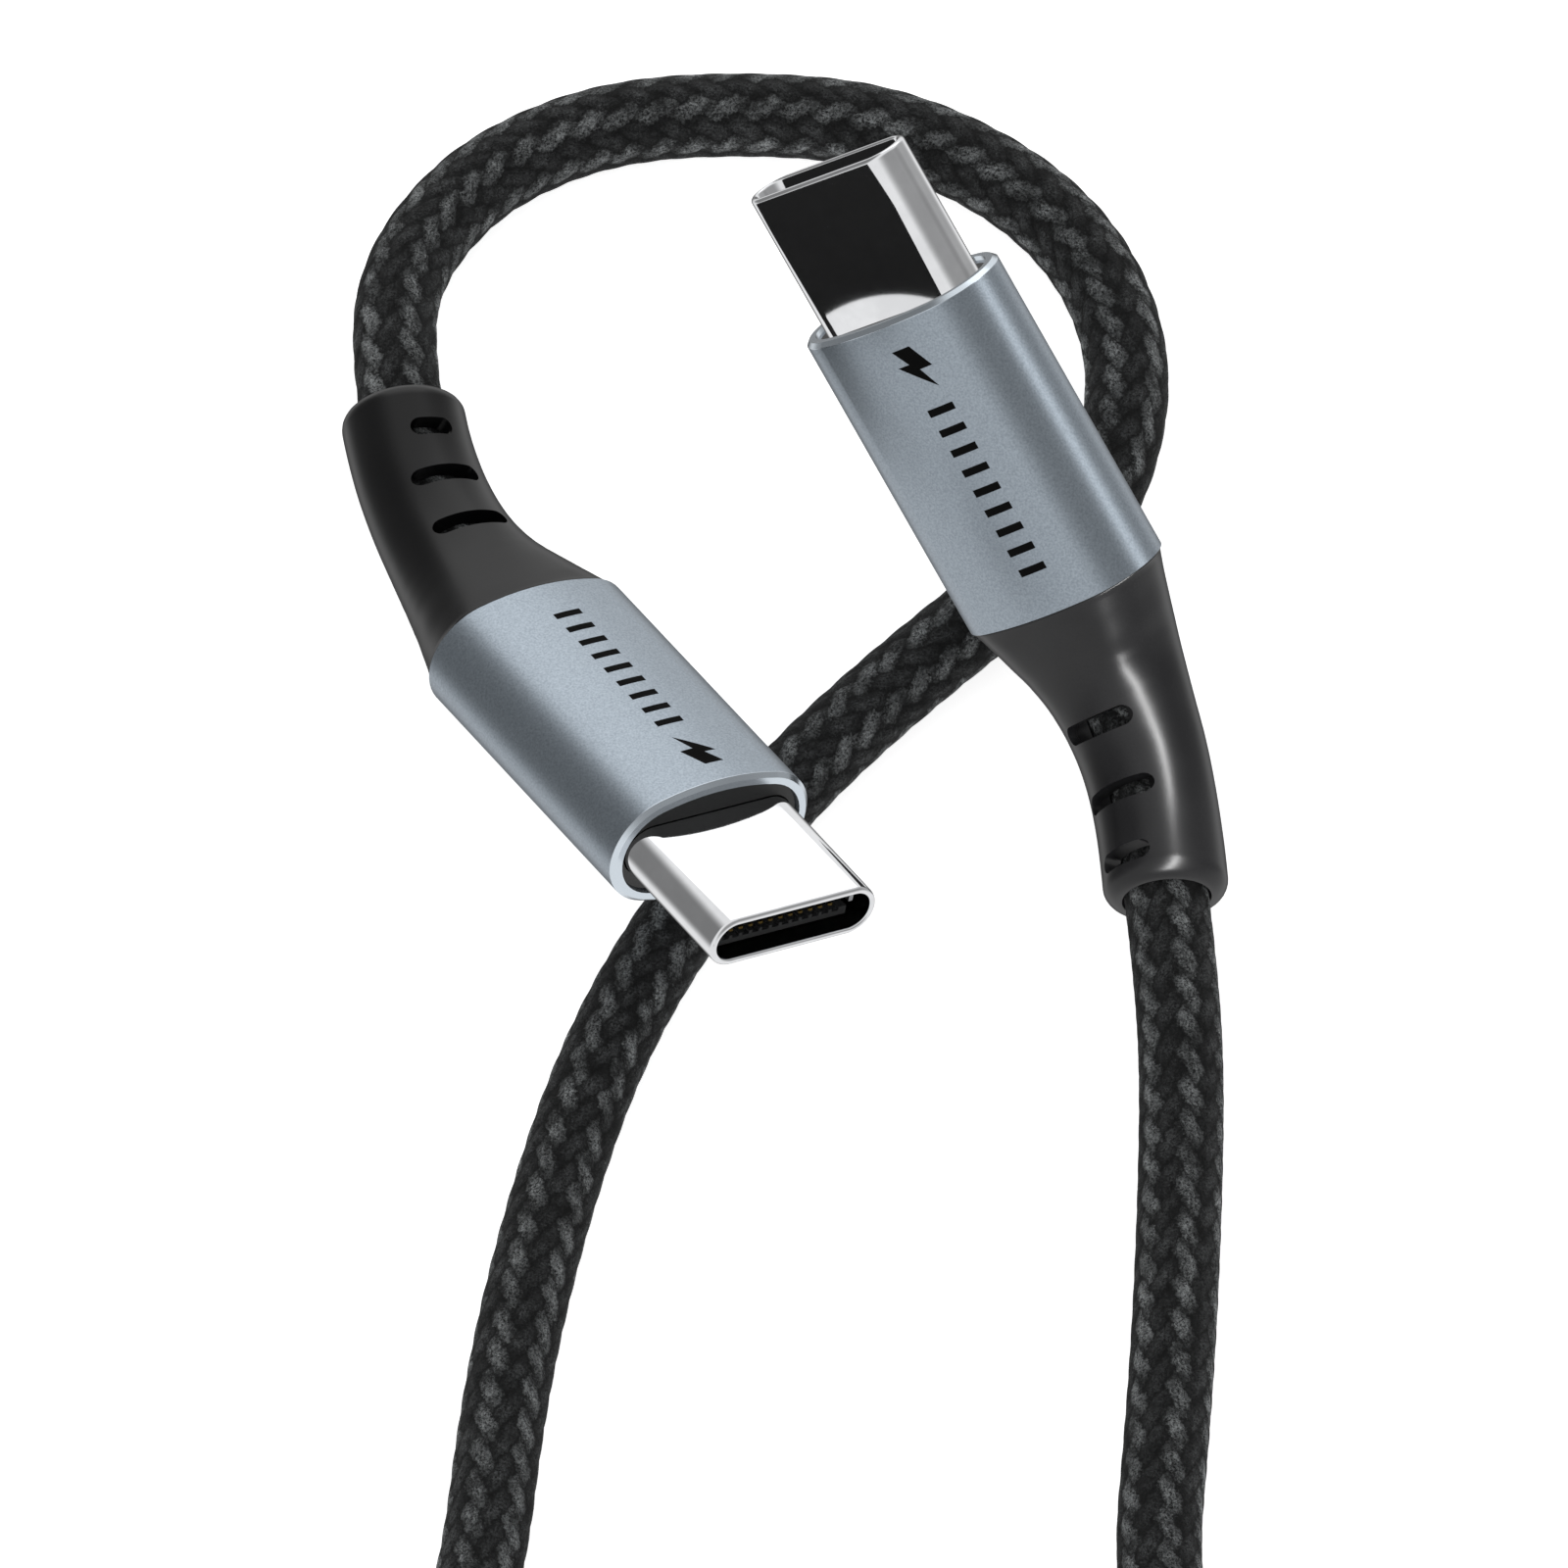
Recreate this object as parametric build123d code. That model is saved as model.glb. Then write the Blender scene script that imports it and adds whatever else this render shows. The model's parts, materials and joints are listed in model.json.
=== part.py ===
from build123d import *
import math
import os

# A braided charging cable with the same slim plug on both ends, lying on a flat surface.
# Millimetres, +Z up, the surface is z = 0 and the origin is under the middle of the two plugs.
# Each connector is built along its own axis: local z = 0 is the rear face of the aluminium
# shell, local +z runs to the plug's tip, local x is the width and local +y the printed face.

# Aluminium shell
shell_width = 9.84
shell_height = 6.0
shell_end_radius = 2.7
shell_length = 14.3
shell_wall = 0.5
rim_chamfer = 0.18

# Plug tongue, the standard size of the 24-contact reversible plug
plug_width = 8.25
plug_height = 2.4
plug_reach = 6.4
plug_wall = 0.28
plug_root = 4.0
tip_round = 0.12
tip_z = shell_length + plug_reach
root_z = shell_length - plug_root

# Inside the plug tongue
contact_count = 12
contact_pitch = 0.5
contact_width = 0.24
contact_thick = 0.12
contact_y = 0.5
contact_bump = 0.22
housing_width = 6.6
housing_outer_y = 0.8
housing_inner_y = 0.4
housing_front_z = tip_z - 0.9
housing_base = 2.6
spring_thick = 0.07
spring_width = 5.6
spring_length = 2.4
latch_thick = 0.2
latch_x = 3.55

# Circuit board, can, mould and crimp behind the plug
board_width = 7.2
board_length = 5.6
board_thick = 0.6
board_rear_z = 3.9
chip_size = 2.2
chip_thick = 0.55
can_width = 7.9
can_height = 3.3
can_rear_z = 2.6
can_wall = 0.15
clear = 0.05
insert_recess = 0.3
insert_thick = 1.0
spigot_length = 1.4
crimp_wall = 0.3
crimp_length = 1.1
jacket_in = 1.2
wire_count = 6
wire_diameter = 0.62
wire_pitch = 1.05
wire_gather = 0.42
wire_window = (5.4, 1.2)

# Braided cord and its strain relief
cord_diameter = 3.6
bore_clear = 0.02
relief_end = 5.36
bend_share = 0.8
relief_round = 0.75
relief_tip = 1.0
tip_step = 0.02
slot_height = 0.85
slot_floor = 1.45
slot_places = [(5.5, 3.9), (8.5, 3.4), (11.4, 2.4)]
# Along the axis from the shell: distance, width and height of the strain relief's section
relief_sections = [
    (0.0, 9.64, 5.86),
    (1.0, 8.80, 5.62),
    (2.0, 8.10, 5.42),
    (3.2, 7.35, 5.26),
    (4.6, 6.65, 5.16),
    (6.4, 6.10, 5.14),
    (8.6, 5.76, 5.16),
    (11.0, 5.46, 5.26),
]

# Where each connector lies: the middle of its shell's rear face, the way it points (degrees
# round from +X), how far it is lifted, how far it is rolled, the two straight lengths that the
# strain relief's bend joins, and the way the cord leaves.
connectors = {
    "a": {"tail": (-10.71, 1.18, 5.025), "heading": -55.85, "lift": 15.93, "roll": -22.25,
          "bend": (8.47, 5.74), "exit_heading": 98.4},
    "b": {"tail": (11.85, 2.6, 7.2), "heading": 127.03, "lift": 36.26, "roll": -57.6,
          "bend": (7.44, 7.66), "exit_heading": -83.8},
}

# Coil that the rest of the cord is wound into, and the strap round it
coil_centre = (1.55, -72.3)
coil_radius = 20.9
turns_across = 3
turn_layers = 2
coil_corner = 1.75
tie_thick = 0.6
tie_length = 6.0
lead_length = 12.0

# Corners of the cord's centre line, from each strain relief's end to the coil. It comes out
# level and sinks on to the surface within two diameters.
cord_z = cord_diameter / 2
route_a = [
    (-16.44, 15.78, 2.7), (-16.15, 19.4, 2.3), (-14.6, 22.7, cord_z), (-11.9, 25.4, cord_z),
    (-7.0, 27.7, cord_z), (-0.2, 28.0, cord_z), (4.7, 27.3, cord_z), (9.7, 24.6, cord_z),
    (13.0, 20.8, cord_z), (14.4, 16.1, cord_z), (14.0, 11.1, cord_z), (11.9, 7.2, cord_z),
    (8.0, 3.9, cord_z), (3.2, -0.6, cord_z), (-0.4, -4.6, cord_z), (-4.5, -10.5, cord_z),
    (-7.5, -16.4, cord_z), (-9.8, -23.9, cord_z), (-11.5, -32.1, cord_z),
    (-12.5, -41.6, cord_z), (-14.8, -49.2, cord_z),
]
route_b = [
    (16.6, -12.69, 2.8), (16.9, -17.4, 2.2), (16.7, -24.1, cord_z), (16.3, -32.0, cord_z),
    (15.5, -42.5, cord_z), (18.2, -49.5, cord_z),
]


def direction(heading, lift=0.0):
    flat = math.cos(math.radians(lift))
    return Vector(flat * math.cos(math.radians(heading)), flat * math.sin(math.radians(heading)),
                  math.sin(math.radians(lift)))


def connector_plane(pose):
    """The connector's own axes, at the rear face of its shell."""
    axis = direction(pose["heading"], pose["lift"])
    side = Vector(0, 0, 1).cross(axis).normalized()
    up = axis.cross(side)
    roll = math.radians(pose["roll"])
    across = side * math.cos(roll) + up * math.sin(roll)
    return Plane(origin=pose["tail"], x_dir=across, z_dir=axis)


def oval(width, height, end_radius, plane=Plane.XY):
    """A flattened oval of four tangent arcs: two long faces and two rounded ends."""
    a = width / 2 - end_radius
    b = height / 2
    long_radius = (a * a + b * b - end_radius ** 2) / (2 * (b - end_radius))
    reach = long_radius - end_radius
    tx = a + end_radius * a / reach
    ty = end_radius * (long_radius - b) / reach
    edges = [
        ThreePointArc((tx, -ty), (width / 2, 0), (tx, ty)),
        ThreePointArc((tx, ty), (0, b), (-tx, ty)),
        ThreePointArc((-tx, ty), (-width / 2, 0), (-tx, -ty)),
        ThreePointArc((-tx, -ty), (0, -b), (tx, -ty)),
    ]
    return plane * make_face(Wire(edges))


def round_section(radius, plane):
    """A circle cut into four arcs that match those of the oval."""
    tx = radius * math.cos(math.radians(62))
    ty = radius * math.sin(math.radians(62))
    edges = [
        ThreePointArc((tx, -ty), (radius, 0), (tx, ty)),
        ThreePointArc((tx, ty), (0, radius), (-tx, ty)),
        ThreePointArc((-tx, ty), (-radius, 0), (-tx, -ty)),
        ThreePointArc((-tx, -ty), (0, -radius), (tx, -ty)),
    ]
    return plane * make_face(Wire(edges))


def slab(x_size, y_size, z_low, z_high, x=0.0, y=0.0):
    """A box from z_low to z_high, centred on x and y."""
    return Pos(x, y, (z_low + z_high) / 2) * Box(x_size, y_size, z_high - z_low)


def stadium(width, height, z_low, z_high):
    return Pos(0, 0, z_low) * extrude(SlotOverall(width, height), z_high - z_low)


def bore_oval(grow=0.0):
    """The inside of the shell, made wider or narrower by grow all round."""
    inset = shell_wall - grow
    return oval(shell_width - 2 * inset, shell_height - 2 * inset, shell_end_radius - inset)


def make_shell():
    body = extrude(oval(shell_width, shell_height, shell_end_radius), shell_length)
    mouth = body.faces().sort_by(Axis.Z)[-1].edges()
    body = chamfer(mouth, rim_chamfer)
    return body - extrude(bore_oval(), shell_length)


def make_mouth_insert():
    low = shell_length - insert_recess - insert_thick
    plate = Pos(0, 0, low) * extrude(bore_oval(-clear), insert_thick)
    return plate - stadium(plug_width + 2 * clear, plug_height + 2 * clear, 0, tip_z)


def make_plug_shell():
    body = stadium(plug_width, plug_height, root_z, tip_z)
    body = fillet(body.faces().sort_by(Axis.Z)[-1].edges(), tip_round)
    inside = stadium(plug_width - 2 * plug_wall, plug_height - 2 * plug_wall, root_z, tip_z)
    return body - inside


def contact_x(i):
    return (i - (contact_count - 1) / 2) * contact_pitch


def make_housing(side):
    """Half of the plastic body that holds one row of contacts, grooved for each contact."""
    depth = housing_outer_y - housing_inner_y
    middle = side * (housing_outer_y + housing_inner_y) / 2
    body = slab(housing_width, depth, root_z + 0.3, housing_front_z, y=middle)
    base_depth = housing_inner_y - clear / 2
    body += slab(housing_width, base_depth, root_z + 0.3, root_z + 0.3 + housing_base,
                 y=side * (housing_inner_y - base_depth / 2))
    for i in range(contact_count):
        body -= slab(contact_width + 2 * clear, 0.5, root_z, tip_z, x=contact_x(i),
                     y=side * (contact_y - 0.19))
    return body


def make_contacts(side):
    """One row of sprung contacts: a strip that runs back to the board, with a raised nose."""
    row = []
    for i in range(contact_count):
        strip = slab(contact_width, contact_thick, board_rear_z + board_length - 1.6,
                     housing_front_z - 0.4, x=contact_x(i), y=side * contact_y)
        nose_z = housing_front_z - 1.5
        nose = Pos(contact_x(i), side * contact_y, nose_z) * Rot(0, 90, 0) * Cylinder(
            contact_bump, contact_width)
        keep = slab(1.0, 0.4, 0, tip_z, x=contact_x(i), y=side * (contact_y - 0.14))
        row.append(strip + (nose & keep))
    return Compound(children=row)


def make_latch_spring():
    """The U-shaped spring whose two arms hold the plug in its socket."""
    low = root_z + 0.3 + housing_base + 0.3
    arms = [slab(latch_thick, 0.6, low, housing_front_z - 0.1, x=side * latch_x)
            for side in (-1, 1)]
    bridge = slab(2 * latch_x + latch_thick, 0.6, low, low + latch_thick)
    return bridge + arms


def make_ground_springs():
    """Two thin plates under the plug's skin that touch the socket's shell."""
    front = housing_front_z - 0.3
    return Compound(children=[
        slab(spring_width, spring_thick, front - spring_length, front,
             y=side * (housing_outer_y + spring_thick / 2 + 0.02)) for side in (-1, 1)])


def make_board():
    return slab(board_width, board_thick, board_rear_z, board_rear_z + board_length)


def make_components():
    """Small capacitors and resistors on the board's lower face."""
    low = board_rear_z + 0.9
    spots = [(-2.4, 0.0), (-2.4, 1.3), (0.0, 0.3), (2.3, 0.0), (2.3, 1.3)]
    return Compound(children=[
        slab(0.9, 0.4, low + z, low + z + 0.5, x=x, y=-(board_thick / 2 + 0.2)) for x, z in spots])


def make_chip():
    """The cable's marker chip, on the board's upper face."""
    low = board_rear_z + 0.5
    return slab(chip_size, chip_thick, low, low + chip_size, y=(board_thick + chip_thick) / 2)


def make_wires():
    """The insulated wires, spread from the crimp and soldered to the board's edge."""
    wires = []
    for i in range(wire_count):
        x = (i - (wire_count - 1) / 2) * wire_pitch
        start = (x * wire_gather, 0, jacket_in + clear)
        end = (x, 0, board_rear_z - clear / 2)
        line = Edge.make_line(start, end)
        wires.append(sweep(Plane(origin=start, z_dir=line % 0) * Circle(wire_diameter / 2), line))
    return Compound(children=wires)


def make_can():
    """The drawn metal can that screens the board, open to the plug's root in front."""
    high = root_z - clear
    body = stadium(can_width, can_height, can_rear_z, high)
    body -= stadium(can_width - 2 * can_wall, can_height - 2 * can_wall, can_rear_z + can_wall, high)
    return body - slab(*wire_window, can_rear_z - 1, can_rear_z + 1)


def make_inner_mould():
    """The hard plastic that fills the shell round the can and the root of the plug."""
    low = spigot_length + 2 * clear
    high = shell_length - insert_recess - insert_thick - clear
    body = Pos(0, 0, low) * extrude(bore_oval(-clear), high - low)
    body -= stadium(can_width + 2 * clear, can_height + 2 * clear, can_rear_z - clear, root_z)
    body -= stadium(plug_width + 2 * clear, plug_height + 2 * clear, root_z - clear, tip_z)
    return body - slab(*wire_window, 0, can_rear_z)


def bend_points(pose):
    """The strain relief's axis: the shell's tail, the corner of its bend and its end."""
    plane = connector_plane(pose)
    tail = Vector(*pose["tail"])
    corner = tail - plane.z_dir * pose["bend"][0]
    end = corner + direction(pose["exit_heading"]) * pose["bend"][1]
    return tail, corner, end


def relief_path(pose, inside=0.0):
    """The axis as one wire, from inside mm within the shell: one arc with a short straight end."""
    tail, corner, end = bend_points(pose)
    turn = math.radians((corner - tail).get_angle(end - corner))
    radius = bend_share * min(pose["bend"]) / math.tan(turn / 2)
    start = tail + connector_plane(pose).z_dir * inside
    return FilletPolyline(start, corner, end, radius=radius)


def plane_along(pose, path, distance):
    """The section plane at a distance along the axis, turned with the bend and never twisted."""
    start = connector_plane(pose)
    tangent = path % (distance / path.length)
    swing = (-start.z_dir).cross(tangent)
    across = start.x_dir
    if swing.length > 1e-6:
        turn = math.degrees(math.acos(min(1.0, (-start.z_dir).dot(tangent))))
        across = across.rotate(Axis((0, 0, 0), swing), turn)
    return Plane(origin=path @ (distance / path.length), x_dir=across, z_dir=-tangent)


def make_strain_relief(pose):
    path = relief_path(pose)
    sections = []
    for distance, width, height in relief_sections:
        radius = min(shell_end_radius, height / 2 - 0.12)
        sections.append(oval(width, height, radius, plane_along(pose, path, distance)))
    rim = plane_along(pose, path, path.length - relief_tip)
    sections.append(round_section(relief_end / 2 + tip_step, rim))
    body = loft(sections)
    tip = Pos(0, 0, -relief_tip / 4) * Cylinder(relief_end / 2, 1.5 * relief_tip)
    body += rim * fillet(tip.faces().sort_by(Axis.Z)[0].edges(), relief_round)
    spigot = connector_plane(pose) * extrude(bore_oval(-clear), spigot_length)
    body += spigot
    for distance, length in slot_places:
        plane = plane_along(pose, path, distance)
        cutter = Pos(0, 0, slot_floor) * extrude(SlotOverall(length, slot_height), 3.0)
        for face_side in (90, -90):
            body -= plane * Rot(-face_side, 0, 0) * cutter
    pocket = connector_plane(pose) * Pos(0, 0, spigot_length / 2) * Cylinder(
        cord_diameter / 2 + crimp_wall + bore_clear, spigot_length + 2 * clear)
    return body - bored(pose, bore_clear) - pocket


def bored(pose, grow):
    """A round rod along the cord's axis inside the strain relief."""
    path = relief_path(pose, jacket_in)
    return sweep(Plane(origin=path @ 0, z_dir=path % 0) * Circle(cord_diameter / 2 + grow), path)


def make_jacket_end(pose):
    """The cord inside the strain relief, up to the crimp."""
    return bored(pose, 0)


def make_crimp():
    """The brass sleeve that grips the cord's screen where the wires come out."""
    radius = cord_diameter / 2 + crimp_wall
    sleeve = Pos(0, 0, clear + crimp_length / 2) * Cylinder(radius, crimp_length)
    return sleeve - Cylinder(radius - crimp_wall + bore_clear, 4 * crimp_length)


def connector_parts():
    """Every piece that is made along the connector's own axis, by name."""
    return {
        "shell": make_shell(),
        "mouth_insert": make_mouth_insert(),
        "plug_shell": make_plug_shell(),
        "contact_housing_upper": make_housing(1),
        "contact_housing_lower": make_housing(-1),
        "contacts_upper": make_contacts(1),
        "contacts_lower": make_contacts(-1),
        "latch_spring": make_latch_spring(),
        "ground_springs": make_ground_springs(),
        "circuit_board": make_board(),
        "board_components": make_components(),
        "wire_ends": make_wires(),
        "screening_can": make_can(),
        "inner_mould": make_inner_mould(),
        "crimp_sleeve": make_crimp(),
    }


def bend_radii(points):
    """For each corner, the largest arc that its two runs allow."""
    radii = []
    for before, corner, after in zip(points, points[1:], points[2:]):
        run_in = corner - before
        run_out = after - corner
        half_turn = math.radians(run_in.get_angle(run_out)) / 2
        radii.append(0.45 * min(run_in.length, run_out.length) / math.tan(half_turn))
    return radii


def make_cord_run(name, pose, corners):
    """A plain tube from the strain relief's end to the coil's lead."""
    points = [bend_points(pose)[2]] + [Vector(*corner) for corner in corners]
    radii = bend_radii(points)
    path = FilletPolyline(*points, radius=radii)
    tube = sweep(Plane(origin=path @ 0, z_dir=path % 0) * Circle(cord_diameter / 2), path)
    expected = math.pi * cord_diameter ** 2 / 4 * path.length
    print(name, "starts at", [round(v, 3) for v in points[0]], "length", round(path.length, 1))
    print(name, "radii", [round(r, 1) for r in radii], "volume ratio", tube.volume / expected)
    return tube


def bundle_section(grow):
    """The outline round all the turns, in the plane through the coil's axis."""
    middle = tie_thick + turn_layers * cord_diameter / 2
    outline = RectangleRounded(turns_across * cord_diameter + 2 * grow,
                               turn_layers * cord_diameter + 2 * grow, coil_corner + grow)
    return Plane.XZ * Pos(coil_radius, middle) * outline


def make_coil():
    """The wound turns as one ring, with a short lead for each run of the cord."""
    coil = Pos(*coil_centre) * revolve(bundle_section(0), Axis.Z)
    for corners in (route_a, route_b):
        last = Vector(*corners[-1])
        way = (last - Vector(*corners[-2])).normalized()
        lead = extrude(Circle(cord_diameter / 2), lead_length)
        coil += Plane(origin=last, z_dir=way) * lead
    return coil


def make_tie():
    """The strap that holds the turns together, on the side away from the plugs."""
    band = bundle_section(tie_thick) - bundle_section(0)
    sweep_angle = math.degrees(tie_length / coil_radius)
    return Pos(*coil_centre) * Rot(0, 0, -90 - sweep_angle / 2) * revolve(
        band, Axis.Z, revolution_arc=sweep_angle)


os.makedirs("parts", exist_ok=True)
parts = {}
local_parts = connector_parts()
for end, pose in connectors.items():
    for name, solid in local_parts.items():
        parts[f"{name}_{end}"] = connector_plane(pose).location * solid
    parts[f"strain_relief_{end}"] = make_strain_relief(pose)
    parts[f"jacket_end_{end}"] = make_jacket_end(pose)
parts["marker_chip"] = connector_plane(connectors["a"]).location * make_chip()
parts["cord_run_a"] = make_cord_run("cord_run_a", connectors["a"], route_a)
parts["cord_run_b"] = make_cord_run("cord_run_b", connectors["b"], route_b)
parts["cord_coil"] = make_coil()
parts["coil_tie"] = make_tie()

for name, solid in parts.items():
    export_step(solid, f"parts/{name}.step")
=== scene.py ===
import json
import math

import bmesh
import bpy
from mathutils import Matrix, Vector

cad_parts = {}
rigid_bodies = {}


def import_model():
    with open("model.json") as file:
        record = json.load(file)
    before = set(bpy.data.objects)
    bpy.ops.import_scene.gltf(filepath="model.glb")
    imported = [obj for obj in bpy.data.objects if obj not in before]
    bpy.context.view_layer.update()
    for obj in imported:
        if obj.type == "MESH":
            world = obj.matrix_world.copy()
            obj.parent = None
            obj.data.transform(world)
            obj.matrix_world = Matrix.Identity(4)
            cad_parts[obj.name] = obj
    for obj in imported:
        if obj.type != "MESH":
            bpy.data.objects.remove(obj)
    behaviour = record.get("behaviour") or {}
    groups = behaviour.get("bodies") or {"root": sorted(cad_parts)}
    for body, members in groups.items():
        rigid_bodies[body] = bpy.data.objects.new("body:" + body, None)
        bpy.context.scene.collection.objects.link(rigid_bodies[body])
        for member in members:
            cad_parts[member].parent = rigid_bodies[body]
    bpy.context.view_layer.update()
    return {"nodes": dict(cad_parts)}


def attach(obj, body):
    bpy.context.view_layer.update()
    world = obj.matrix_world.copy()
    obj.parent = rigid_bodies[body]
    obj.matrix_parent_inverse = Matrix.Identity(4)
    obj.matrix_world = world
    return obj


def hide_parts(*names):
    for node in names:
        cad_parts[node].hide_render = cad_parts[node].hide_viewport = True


# A braided charging cable with the same slim plug on both ends, lying on a pale table.
# The camera and the cord come first, then the finishes, the connectors, the strap and the light.
# Sizes in the dictionaries are millimetres, and mm turns them into the scene's metres.

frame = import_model()
mm = 0.001


def inMetres(point):
    return Vector(point) * mm


def direction(heading, lift=0.0):
    flat = math.cos(math.radians(lift))
    return Vector((flat * math.cos(math.radians(heading)), flat * math.sin(math.radians(heading)),
                   math.sin(math.radians(lift))))


def blend(a, b, share):
    return a + (b - a) * share


def easeInOut(share):
    share = min(1.0, max(0.0, share))
    return share * share * (3 - 2 * share)


# Camera

cameraView = {
    "aim": (0.045, -2.873, 0.0),
    "elevation": 62.0,  # degrees above the table
    "lens": 600.0,  # long, so that the view is almost parallel
    "sensor": 36.0,
    "width": 65.9,  # how much of the table the frame takes in
    "clip": (0.05, 20.0),  # in metres
}


def placeCamera(view):
    data = bpy.data.cameras.new("camera")
    data.lens = view["lens"]
    data.sensor_width = view["sensor"]
    data.clip_start, data.clip_end = view["clip"]
    camera = bpy.data.objects.new("camera", data)
    distance = view["width"] * mm * view["lens"] / view["sensor"]
    camera.location = inMetres(view["aim"]) + direction(-90, view["elevation"]) * distance
    camera.rotation_euler = (math.radians(90 - view["elevation"]), 0, 0)
    bpy.context.scene.collection.objects.link(camera)
    bpy.context.scene.camera = camera


placeCamera(cameraView)
print("camera placed")


# Objects and finishes

def linkPiece(name, bm, materials, smooth=True):
    mesh = bpy.data.meshes.new(name)
    bm.to_mesh(mesh)
    bm.free()
    for polygon in mesh.polygons:
        polygon.use_smooth = smooth
    for material in materials:
        mesh.materials.append(material)
    piece = bpy.data.objects.new(name, mesh)
    bpy.context.scene.collection.objects.link(piece)
    return piece


def linearColour(hexCode):
    # an sRGB hex value as the linear colour that shaders work in
    channels = [int(hexCode[i:i + 2], 16) / 255 for i in (1, 3, 5)]
    return [c / 12.92 if c <= 0.04045 else ((c + 0.055) / 1.055) ** 2.4 for c in channels] + [1.0]


def addNode(tree, kind, inputs=None, **settings):
    # one node with its settings; an input is a value, a socket or a node's first output
    node = tree.nodes.new("ShaderNode" + kind)
    for name, value in settings.items():
        setattr(node, name, value)
    for key, value in (inputs or {}).items():
        if isinstance(value, bpy.types.Node):
            value = value.outputs[0]
        if isinstance(value, bpy.types.NodeSocket):
            tree.links.new(value, node.inputs[key])
        else:
            node.inputs[key].default_value = value
    return node


def vertsIn(geometry):
    return [part for part in geometry if isinstance(part, bmesh.types.BMVert)]


def startMaterial(name, look):
    material = bpy.data.materials.new(name)
    material.use_nodes = True
    tree = material.node_tree
    shader = tree.nodes["Principled BSDF"]
    shader.inputs["Roughness"].default_value = look["roughness"]
    shader.inputs["Metallic"].default_value = look.get("metallic", 0.0)
    if "ior" in look:
        shader.inputs["IOR"].default_value = look["ior"]
    return material, tree, shader


def finishSurface(tree, shader, look, colour, height):
    # what each finish ends with: its colour and its bump
    tree.links.new(colour, shader.inputs["Base Color"])
    bump = addNode(tree, "Bump", {"Strength": look["bump"], "Distance": look["depth"] * mm,
                                  "Height": height})
    tree.links.new(bump.outputs[0], shader.inputs["Normal"])


# Cord

braid = {
    "diameter": 3.6,
    "carriers": 12,  # yarns that run each way round
    "pitch": 1.55,  # along the cord, from one crossing to the next
    "yarnDepth": 0.07,  # how far the braid dips between its yarns
    "crossRound": 0.6, "floatRound": 0.7, "floatDip": 0.25,  # a yarn's arch, across and along
    "facesAround": 64,
    "fineStep": 0.2,  # rows where the cord is looked at closely
    "coarseStep": 1.25,  # rows in the coil
    "fineFromA": 121.0,
    "fineFromB": 44.0,
    "fade": 10.0,  # over which the rows widen
    "tuck": 0.6,  # how far each end goes into its strain relief
}

exits = {
    "a": {"point": (-16.121, 13.599, 2.7), "heading": 98.4},
    "b": {"point": (16.05, -9.8, 2.75), "heading": -84.5},
}

tableHeight = 1.8  # of the middle of a cord that lies on the table

# each point's x, y and height; one without a height lies on the table
routeA = [
    (-16.44, 15.78, 2.7), (-16.4, 19.5, 2.3), (-14.9, 23.0), (-12.0, 26.0), (-7.0, 28.2),
    (-0.2, 28.5), (5.0, 27.7), (10.1, 24.9), (13.4, 21.0), (14.8, 16.1), (14.0, 11.1),
    (11.9, 7.2), (8.0, 3.9), (3.2, -0.6), (-0.4, -4.6), (-4.5, -10.5), (-7.5, -16.4),
    (-9.8, -23.9), (-11.5, -32.1), (-12.5, -41.6), (-14.8, -49.2),
]
routeB = [
    (16.35, -12.69, 2.75), (16.65, -17.4, 2.2), (16.5, -24.1), (16.1, -32.0), (15.2, -42.5),
    (18.2, -49.5, 2.2), (21.3, -56.4, 5.1),
]


def routePoint(point):
    return inMetres(point if len(point) == 3 else (*point, tableHeight))


coil = {
    "centre": (1.55, -72.3),
    "radii": [24.5, 20.9, 17.3, 17.3, 20.9, 24.5],  # inwards on the table, outwards on top
    "layers": [0, 0, 0, 1, 1, 1],
    "entryAngle": 158.0, "exitAngle": 22.5,
    "pointsPerTurn": 16,
    "cornerShare": 0.981,  # a smooth line runs this much inside its control points
    "sidestep": 2.0,  # inwards, where the cord climbs to the upper layer
    "strapAngle": -90.0,
    "strapLift": 0.6,
    "strapReach": 45.0,  # degrees each side over which the turns settle back on the table
}


def coilPoints(settings):
    # the wound turns: each pass keeps its radius, then sidesteps on the side nearest the plugs
    radii, layers = settings["radii"], settings["layers"]
    first = settings["entryAngle"]
    last = settings["exitAngle"] + 360 * len(radii)
    passAngle = settings["exitAngle"] + 360 - first
    count = round((last - first) / 360 * settings["pointsPerTurn"])
    points = []
    for k in range(count + 1):
        angle = blend(first, last, k / count)
        turn = min(int((angle - first) / 360), len(radii) - 1)
        within = angle - first - 360 * turn
        jog = easeInOut((within - passAngle) / (360 - passAngle))
        after = min(turn + 1, len(radii) - 1)
        radius = blend(radii[turn], radii[after], jog)
        layer = blend(layers[turn], layers[after], jog)
        if layers[turn] != layers[after]:
            radius -= settings["sidestep"] * 4 * jog * (1 - jog)
        fromStrap = abs((angle - settings["strapAngle"] + 180) % 360 - 180)
        lift = settings["strapLift"] * easeInOut(1 - fromStrap / settings["strapReach"])
        reach = radius / settings["cornerShare"]
        points.append((settings["centre"][0] + reach * math.cos(math.radians(angle)),
                       settings["centre"][1] + reach * math.sin(math.radians(angle)),
                       tableHeight + layer * braid["diameter"] + lift))
    return points


def tuckedEnd(end):
    return inMetres(end["point"]) - direction(end["heading"]) * braid["tuck"] * mm


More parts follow.
